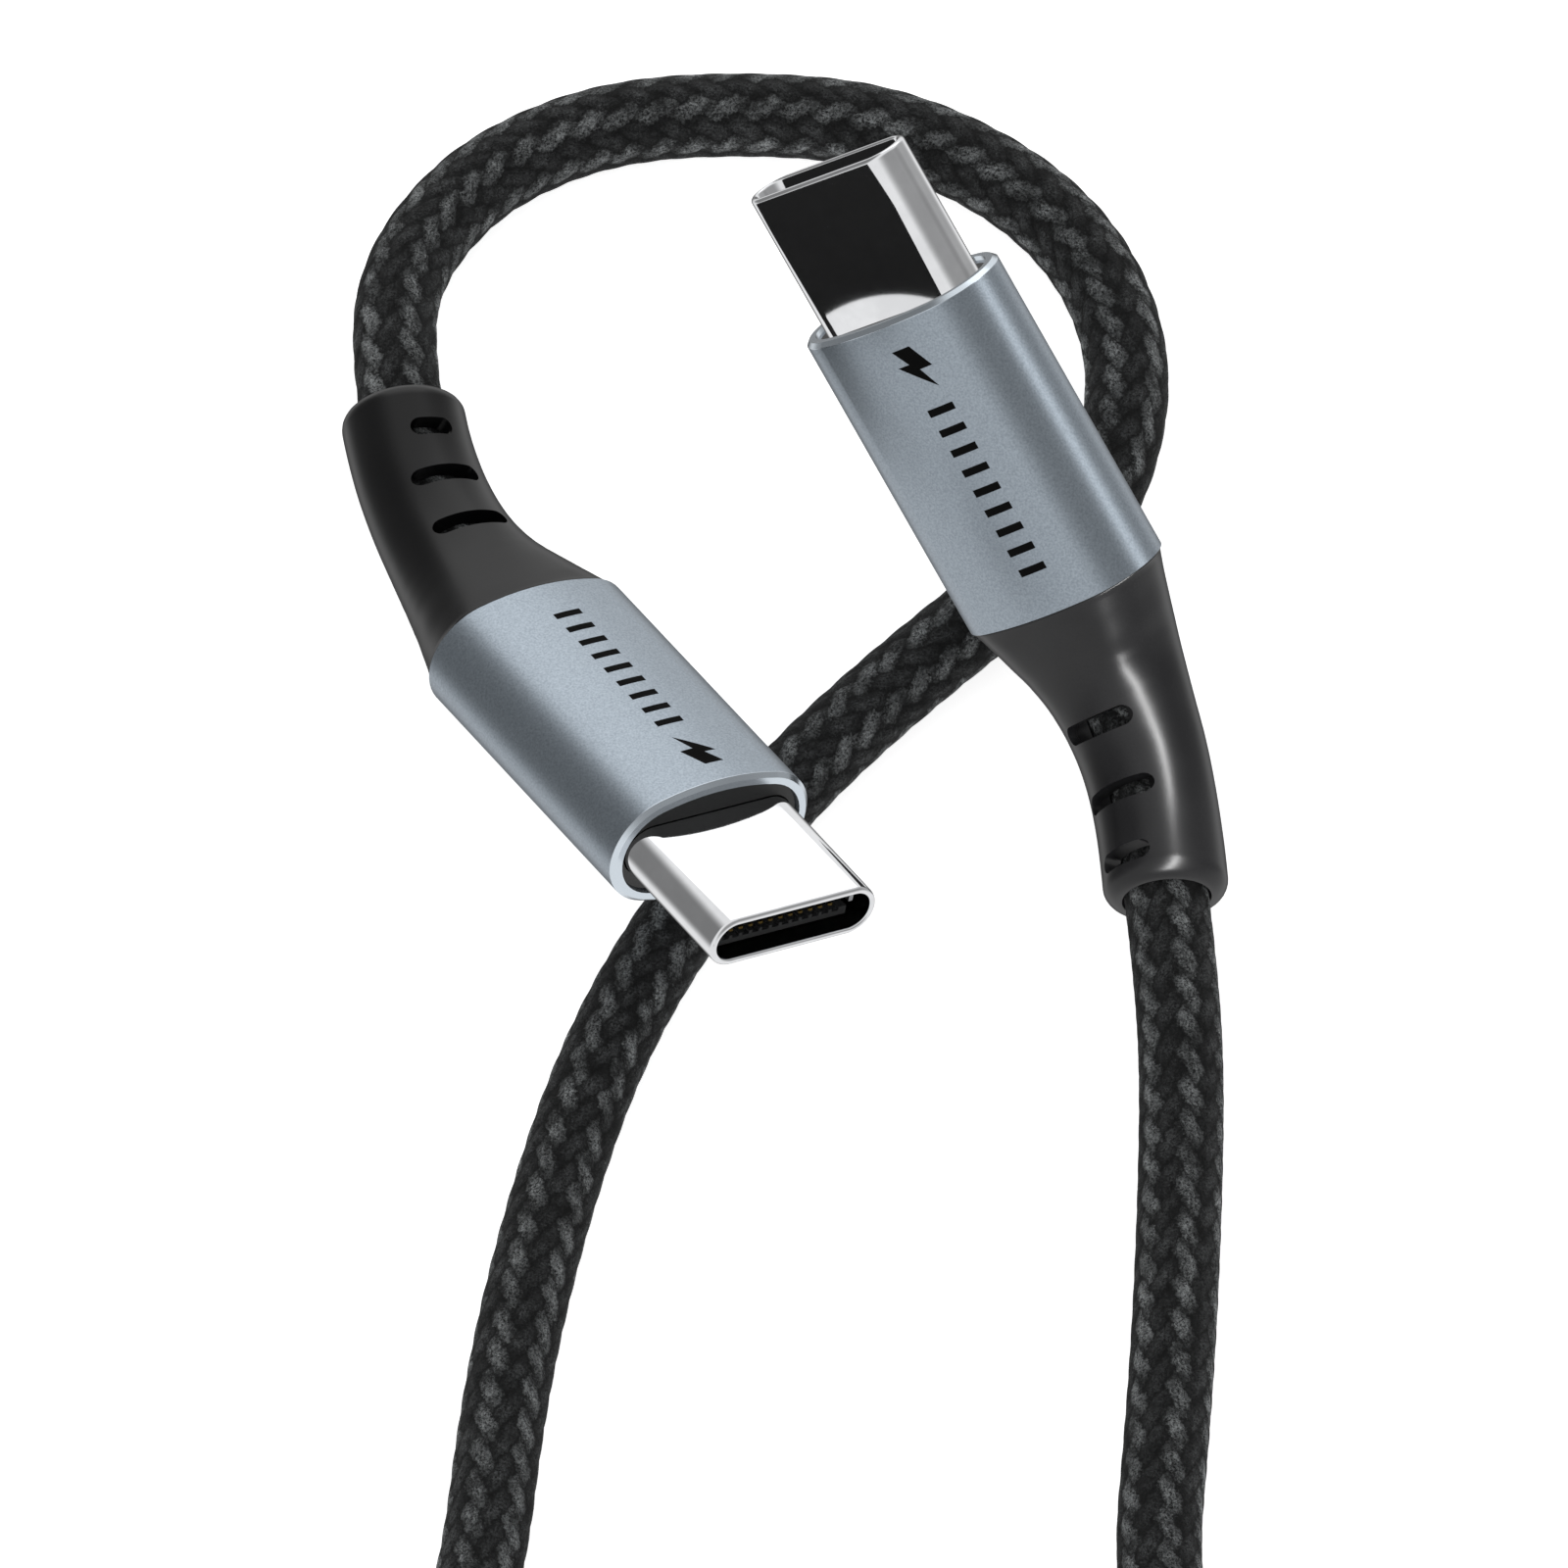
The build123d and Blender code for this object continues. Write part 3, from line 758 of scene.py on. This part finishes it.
def buildPlug(end):
    bm = bmesh.new()
    ring = bmesh.ops.create_circle(bm, segments=plug["segments"], radius=plug["height"] / 2,
                                   cap_ends=True)["verts"]
    half = (plug["width"] - plug["height"]) / 2
    bmesh.ops.rotate(bm, verts=ring, cent=(0, 0, 0),
                     matrix=Matrix.Rotation(math.pi / plug["segments"], 3, "Z"))
    for vertex in ring:
        vertex.co.x += half if vertex.co.x > 0 else -half
        vertex.co.z = plug["root"]
    top = bmesh.ops.extrude_face_region(bm, geom=[bm.faces[:][0]], use_keep_orig=True)["geom"]
    cap = [part for part in top if isinstance(part, bmesh.types.BMFace)][0]
    bmesh.ops.translate(bm, verts=vertsIn(top), vec=(0, 0, plug["tip"] - plug["root"]))
    bmesh.ops.recalc_face_normals(bm, faces=bm.faces)
    bmesh.ops.inset_region(bm, faces=[cap], thickness=plug["wall"], use_even_offset=True)
    floor = bmesh.ops.extrude_face_region(bm, geom=[cap])["geom"]
    bmesh.ops.translate(bm, verts=vertsIn(floor), vec=(0, 0, -plug["cavity"]))
    bmesh.ops.delete(bm, geom=[cap], context="FACES_ONLY")
    lips = {"outerRound": [], "innerRound": []}
    for edge in bm.edges:
        if all(abs(v.co.z - plug["tip"]) < 1e-5 for v in edge.verts) and len(edge.link_faces) == 2:
            upright = [f for f in edge.link_faces if abs(f.normal.z) < 0.5]
            if upright:
                middle = (edge.verts[0].co + edge.verts[1].co) / 2
                inner = max(abs(middle.x) - half, 0) ** 2 + middle.y ** 2
                limit = (plug["height"] / 2 - plug["wall"] / 2) ** 2
                lips["innerRound" if inner < limit else "outerRound"].append(edge)
    for name, edges in lips.items():
        bmesh.ops.bevel(bm, geom=edges, offset=plug[name], segments=plug["lipSteps"],
                        profile=0.5, affect="EDGES", material=-1)
    bmesh.ops.recalc_face_normals(bm, faces=bm.faces)
    bmesh.ops.transform(bm, matrix=connectorMatrix(connectors[end]), verts=bm.verts)
    piece = linkPiece(f"plugTongue_{end}", bm, [made["brightNickel"]])
    piece.data.set_sharp_from_angle(angle=math.radians(plug["sharpAngle"]))
    return piece


# Print: a plain bolt and a row of ticks in matt black ink on each shell's flat face

mark = {
    "bolt": [(-0.15, 13.0), (0.75, 13.0), (0.28, 12.25), (0.85, 12.25), (-0.5, 10.95),
             (-0.08, 11.9), (-0.7, 11.9)],
    "tickWidth": 0.34, "tickHeight": 1.3, "tickPitch": 0.98, "tickCount": 9, "tickStart": 2.1,
    "thick": 0.012, "slice": 0.15, "slices": 8,  # cuts that let it follow the curved face
    "shift": {"a": 0.1, "b": -1.36},  # across the flat face
}


def buildMark(end):
    bm = bmesh.new()
    bm.faces.new([bm.verts.new((x, 0, z)) for x, z in mark["bolt"]])
    for k in range(mark["tickCount"]):
        middle = mark["tickStart"] + k * mark["tickPitch"]
        turned = (Matrix.Translation((0, 0, middle)) @ Matrix.Rotation(math.pi / 2, 4, "X")
                  @ Matrix.Diagonal((mark["tickHeight"], mark["tickWidth"], 1, 1)))
        bmesh.ops.create_grid(bm, x_segments=1, y_segments=1, size=0.5, matrix=turned)
    for k in range(-mark["slices"], mark["slices"] + 1):
        bmesh.ops.bisect_plane(bm, geom=bm.verts[:] + bm.edges[:] + bm.faces[:],
                               plane_co=(k * mark["slice"], 0, 0), plane_no=(1, 0, 0))
    a, b = shell["width"] / 2 - shell["endRadius"], shell["height"] / 2
    longRadius = longArcRadius(a, b, shell["endRadius"])
    for vertex in bm.verts:
        vertex.co.x += mark["shift"][end]
        vertex.co.y = b - longRadius + math.sqrt(longRadius ** 2 - vertex.co.x ** 2)
    bmesh.ops.recalc_face_normals(bm, faces=bm.faces)
    for face in bm.faces:
        if face.normal.y < 0:
            face.normal_flip()
    raised = bmesh.ops.extrude_face_region(bm, geom=bm.faces[:], use_keep_orig=True)["geom"]
    bmesh.ops.translate(bm, verts=vertsIn(raised), vec=(0, mark["thick"], 0))
    bmesh.ops.recalc_face_normals(bm, faces=bm.faces)
    bmesh.ops.transform(bm, matrix=connectorMatrix(connectors[end]), verts=bm.verts)
    return linkPiece(f"printedMark_{end}", bm, [made["padPrintInk"]], smooth=False)


# the short piece of cord that shows in each strain relief's slots
innerCord = {"inside": 1.2, "short": 0.7}  # starts this far in, and stops this far from the tip

nodeFinishes = {
    "mouth_insert": "mouldedCharcoal", "contact_housing_upper": "mouldedCharcoal",
    "contact_housing_lower": "mouldedCharcoal", "contacts_upper": "shadedGoldFlash",
    "contacts_lower": "shadedGoldFlash", "latch_spring": "springSteel",
    "ground_springs": "springSteel", "circuit_board": "solderMask",
    "board_components": "chipEpoxy", "wire_ends": "wireInsulation",
    "screening_can": "springSteel", "inner_mould": "innerMoulding",
    "crimp_sleeve": "drawnBrass",
}


def dressNode(node, material):
    mesh = frame["nodes"][node].data
    if not mesh.materials:
        mesh.materials.append(material)
    for slot in frame["nodes"][node].material_slots:
        slot.material = material


def addPiece(piece, slot, *nodes):
    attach(piece, "root")
    if nodes:
        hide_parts(*nodes)


for end in ("a", "b"):
    place = connectorMatrix(connectors[end])
    dressNode(f"shell_{end}", blastedAluminium(f"beadBlastedAluminium_{end}", blasted, place))
    for node, finish in nodeFinishes.items():
        dressNode(f"{node}_{end}", made[finish])
    body, axisPath, reliefLength = buildRelief(end)
    addPiece(body, "soft_rubber", f"strain_relief_{end}")
    startInside = (relief["spigot"] + relief["lead"] - innerCord["inside"]) * mm
    rowCount = int((reliefLength + innerCord["inside"] - innerCord["short"]) / braid["fineStep"])
    inner = [startInside + k * braid["fineStep"] * mm for k in range(rowCount)]
    sleeve = linkPiece(f"innerCord_{end}", buildBraidedTube(axisPath, inner, braid), [nylon])
    addPiece(sleeve, "braid", f"jacket_end_{end}")
    addPiece(buildPlug(end), "nickel_plated_steel", f"plug_shell_{end}")
    addPiece(buildMark(end), "black_plastic")
dressNode("marker_chip", made["chipEpoxy"])
print("connectors dressed")


# Strap round the coil: a woven hook-and-loop band, its end lapped over on the outside

strap = {
    "width": 6.0, "thick": 0.5, "radial": (15.45, 26.35), "upright": (0.55, 7.85), "corner": 1.8,
    "lap": 9.0, "rows": 150, "across": 14, "rib": 0.55,
    "lapBefore": 0.35,  # share of the lap that lies before the middle of the top
    "lapEase": 3.0, "lapRise": 1.08,  # climb on to itself: length, and height in bands
    "endRound": 2.2, "endNarrow": 0.35,
}


def bandPoint(along, clearance):
    # a point on the rounded outline round the bundle, along mm from the middle of its top
    low, high = strap["radial"]
    bottom, top = strap["upright"]
    corner = strap["corner"]
    flat, upright = high - low - 2 * corner, top - bottom - 2 * corner
    arc = math.pi / 2 * corner
    around = 2 * flat + 2 * upright + 4 * arc
    along = along % around
    sides = [(flat / 2, (1, 0)), (arc, None), (upright, (0, -1)), (arc, None), (flat, (-1, 0)),
             (arc, None), (upright, (0, 1)), (arc, None), (flat / 2, (1, 0))]
    x, y, heading = (low + high) / 2, top, 0.0
    for length, way in sides:
        step = min(along, length)
        if way is None:
            turned = step / corner
            c, s = math.cos(math.radians(heading)), math.sin(math.radians(heading))
            forward, inward = corner * math.sin(turned), corner * (1 - math.cos(turned))
            x, y = x + forward * c + inward * s, y + forward * s - inward * c
            heading -= math.degrees(turned)
        else:
            x, y = x + way[0] * step, y + way[1] * step
        along -= step
        if along <= 0:
            break
    outward = math.radians(heading + 90)
    return x + clearance * math.cos(outward), y + clearance * math.sin(outward), around


def buildStrap():
    around = bandPoint(0, 0)[2]
    length = around + strap["lap"]
    rows, across, thick = strap["rows"], strap["across"], strap["thick"]
    bm = bmesh.new()
    bmesh.ops.create_grid(bm, x_segments=across, y_segments=rows, size=1)
    bm.verts.ensure_lookup_table()
    uvLayer = bm.loops.layers.uv.new("strapMap")
    start = -strap["lap"] * strap["lapBefore"]
    centre = inMetres((*coil["centre"], 0))
    flatPlace = {}
    for index, vertex in enumerate(bm.verts):
        row, column = divmod(index, across + 1)
        along = start + length * row / rows
        offset = strap["width"] * (column / across - 0.5)
        lapped = easeInOut((along - start - around + strap["lapEase"]) / strap["lapEase"])
        fromEnd = length * (1 - row / rows)
        if fromEnd < strap["endRound"]:
            reach = 1 - (1 - fromEnd / strap["endRound"]) ** 2
            offset *= blend(strap["endNarrow"], 1.0, math.sqrt(max(0.0, reach)))
        radial, z, _ = bandPoint(along, thick * (1 + strap["lapRise"] * lapped))
        vertex.co = centre + Vector((offset, -radial, z)) * mm
        flatPlace[index] = (along, offset)
    bm.verts.index_update()
    for face in bm.faces:
        for loop in face.loops:
            loop[uvLayer].uv = flatPlace[loop.vert.index]
    bm.normal_update()
    faceUp = min(bm.faces, key=lambda f: -f.calc_center_median().z)
    if faceUp.normal.z < 0:
        bmesh.ops.reverse_faces(bm, faces=bm.faces)
    bmesh.ops.solidify(bm, geom=bm.faces[:], thickness=thick * mm)
    return linkPiece("coilStrap", bm, [wovenStrap("wovenNylonStrap", strapLook)])


strapLook = {"roughness": 0.85, "ior": 1.53, "low": "#0e0f10", "high": "#35383a", "bump": 0.8,
             "depth": 0.08, "fuzz": 0.15, "toneRange": (0.05, 0.5)}


def wovenStrap(name, look):
    # woven nylon band: dull, with ribs across it and a faint twill in each rib
    material, tree, shader = startMaterial(name, look)
    split = addNode(tree, "SeparateXYZ", {0: addNode(tree, "UVMap", uv_map="strapMap")})
    ribs = addNode(tree, "Math", {0: split.outputs[0], 1: 2 * math.pi / strap["rib"]},
                   operation="MULTIPLY")
    ribs = addNode(tree, "Math", {0: ribs}, operation="SINE")
    slant = addNode(tree, "Math", {0: split.outputs[0], 1: split.outputs[1]}, operation="ADD")
    slant = addNode(tree, "Math", {0: slant, 1: 4 * math.pi / strap["rib"]}, operation="MULTIPLY")
    slant = addNode(tree, "Math", {0: slant}, operation="SINE")
    where = addNode(tree, "TexCoord").outputs["Object"]
    fuzz = addNode(tree, "TexNoise", {"Vector": where, "Scale": 1 / (look["fuzz"] * mm),
                                      "Detail": 3.0})
    height = addNode(tree, "Math", {0: ribs, 1: slant}, operation="ADD")
    height = addNode(tree, "MapRange", {0: height, 1: -2.0, 2: 2.0})
    height = addNode(tree, "Math", {0: height, 1: fuzz}, operation="MULTIPLY")
    low, high = look["toneRange"]
    tone = addNode(tree, "MapRange", {0: height, 1: low, 2: high})
    colour = addNode(tree, "Mix", {0: tone, 6: linearColour(look["low"]),
                                   7: linearColour(look["high"])}, data_type="RGBA").outputs[2]
    finishSurface(tree, shader, look, colour, height)
    return material


addPiece(buildStrap(), "strap", "coil_tie")

# polished flats and satin shells show the studio rather than each other
reflected = ("strainRelief_a", "strainRelief_b", "mouth_insert_a", "plugTongue_a")
for other in bpy.context.scene.objects:
    ofConnector = other.name.endswith(("_a", "_b"))
    if other is cordPiece or ofConnector and other.name not in reflected:
        other.visible_glossy = False
print("strap wound")


# Table, lights and surroundings

# matt white sheet that glows a little, so that it stays plain white; its radius is in metres
tableLook = {"radius": 1.6, "colour": "#f4f4f4", "roughness": 0.9, "glow": 0.8}


def makeTable(look):
    bm = bmesh.new()
    bmesh.ops.create_circle(bm, cap_ends=True, segments=96, radius=look["radius"])
    white, _, shader = startMaterial("paleTable", look)
    shader.inputs["Base Color"].default_value = linearColour(look["colour"])
    shader.inputs["Emission Color"].default_value = linearColour("#ffffff")
    shader.inputs["Emission Strength"].default_value = look["glow"]
    table = linkPiece("table", bm, [white], smooth=False)
    table.visible_glossy = False  # polished metal shows the studio, not the table


# a dark arch of card that only shows in reflections: it darkens the flat of plug b
darkCard = {
    "spot": (0, 1.2, 17.5),  # on plug b, from which the card stands off
    "heading": -137, "lift": -14, "distance": 12,
    "hole": 9.0, "outer": 17.0, "halfAngle": 42,  # the arch
    "drop": 10.1, "shift": 2.0,
    "colour": "#262626", "roughness": 0.5,
}


def makeDarkCard(settings):
    matrix = connectorMatrix(connectors["b"])
    way = direction(settings["heading"], settings["lift"])
    axis = matrix.to_3x3().col[2].normalized()
    axis = (axis - way * axis.dot(way)).normalized()
    sideways = way.cross(axis)
    centre = matrix @ Vector(settings["spot"]) + way * settings["distance"] * mm
    centre += (sideways * settings["shift"] - axis * settings["drop"]) * mm
    bm = bmesh.new()
    for radius in (settings["hole"], settings["outer"]):
        bmesh.ops.create_circle(bm, segments=96, radius=radius * mm)
    bmesh.ops.bridge_loops(bm, edges=bm.edges[:])
    spread = math.sin(math.radians(settings["halfAngle"]))
    beyond = [v for v in bm.verts if v.co.y < 0 or abs(v.co.x) > spread * v.co.length]
    bmesh.ops.delete(bm, geom=beyond, context="VERTS")
    turned = Matrix((sideways, axis, way)).transposed().to_4x4()
    bmesh.ops.transform(bm, matrix=Matrix.Translation(centre) @ turned, verts=bm.verts)
    bm.normal_update()
    facingAway = [face for face in bm.faces if face.normal.dot(way) > 0]
    bmesh.ops.reverse_faces(bm, faces=facingAway)
    black, tree, shader = startMaterial("blackCard", settings)
    shader.inputs["Base Color"].default_value = linearColour(settings["colour"])
    shader.inputs["Specular IOR Level"].default_value = 0.0
    # the back is clear, so that only plug b meets the card
    farSide = addNode(tree, "NewGeometry").outputs["Backfacing"]
    clear = addNode(tree, "BsdfTransparent").outputs[0]
    mixed = addNode(tree, "MixShader", {0: farSide, 1: shader.outputs[0], 2: clear}).outputs[0]
    tree.links.new(mixed, tree.nodes["Material Output"].inputs["Surface"])
    card = linkPiece("blackCard", bm, [black], smooth=False)
    card.visible_camera = False
    card.visible_diffuse = False
    card.visible_shadow = False


lightAim = inMetres((0, -10, 0))


def makeLight(name, settings):
    data = bpy.data.lights.new(name, "AREA")
    data.shape = "RECTANGLE"
    data.size, data.size_y = settings["size"]
    data.energy = settings["power"]
    light = bpy.data.objects.new(name, data)
    way = direction(settings["heading"], settings["lift"])
    light.location = lightAim + way * settings["distance"]
    light.rotation_euler = (light.location - lightAim).to_track_quat("Z", "Y").to_euler()
    light.rotation_euler.rotate_axis("Z", math.radians(settings.get("turn", 0)))
    bpy.context.scene.collection.objects.link(light)
    if "only" in settings:
        lit = bpy.data.collections.new(f"{name}Lit")
        only = settings["only"]
        lit.objects.link(bpy.data.objects.get(only) or frame["nodes"][only])
        light.light_linking.receiver_collection = lit


# large soft panels, in metres and watts; a panel that names a piece lights only that one
lights = {
    "backPanel": {"heading": 92, "lift": 26, "distance": 0.7, "size": (0.7, 0.4), "power": 0.5},
    "sidePanel": {"heading": 4, "lift": 20, "distance": 0.6, "size": (0.12, 0.3), "power": 0.3,
                  "only": "shell_b"},
    "streak": {"heading": -54.5, "lift": 58.8, "distance": 0.6, "size": (1.15, 0.09),
               "power": 17.0, "turn": 50.2, "only": "strainRelief_b"},
}


# soft darker patches in a white surround give rounded metal its edges
studio = {
    "bright": 0.95,
    "patches": [
        {"heading": 162, "lift": 9, "from": 0.6, "to": 0.9, "tone": 0.25},
        {"heading": -40, "lift": 38, "from": 0.55, "to": 0.95, "tone": 0.38},
        {"heading": 20, "lift": 8, "from": 0.72, "to": 0.97, "tone": 0.45},
        {"heading": 90, "lift": -62, "from": 0.72, "to": 0.97, "tone": 0.12},
    ],
}


def lightStudio(settings):
    world = bpy.data.worlds.new("studio")
    world.use_nodes = True
    tree = world.node_tree
    way = addNode(tree, "TexCoord").outputs["Generated"]
    tone = addNode(tree, "Value").outputs[0]
    tone.default_value = settings["bright"]
    for patch in settings["patches"]:
        centre = direction(patch["heading"], patch["lift"])
        near = addNode(tree, "VectorMath", {0: way, 1: centre},
                       operation="DOT_PRODUCT").outputs["Value"]
        dimmed = addNode(tree, "MapRange", {0: near, 1: patch["from"], 2: patch["to"], 3: 1.0,
                                            4: patch["tone"]},
                         interpolation_type="SMOOTHSTEP").outputs[0]
        tone = addNode(tree, "Math", {0: tone, 1: dimmed}, operation="MULTIPLY").outputs[0]
    tree.nodes["Background"].inputs["Color"].default_value = linearColour("#ffffff")
    tree.links.new(tone, tree.nodes["Background"].inputs["Strength"])
    bpy.context.scene.world = world


makeTable(tableLook)
for name, settings in lights.items():
    makeLight(name, settings)
lightStudio(studio)
makeDarkCard(darkCard)
bpy.context.scene.view_settings.view_transform = "Standard"
print("stage lit")
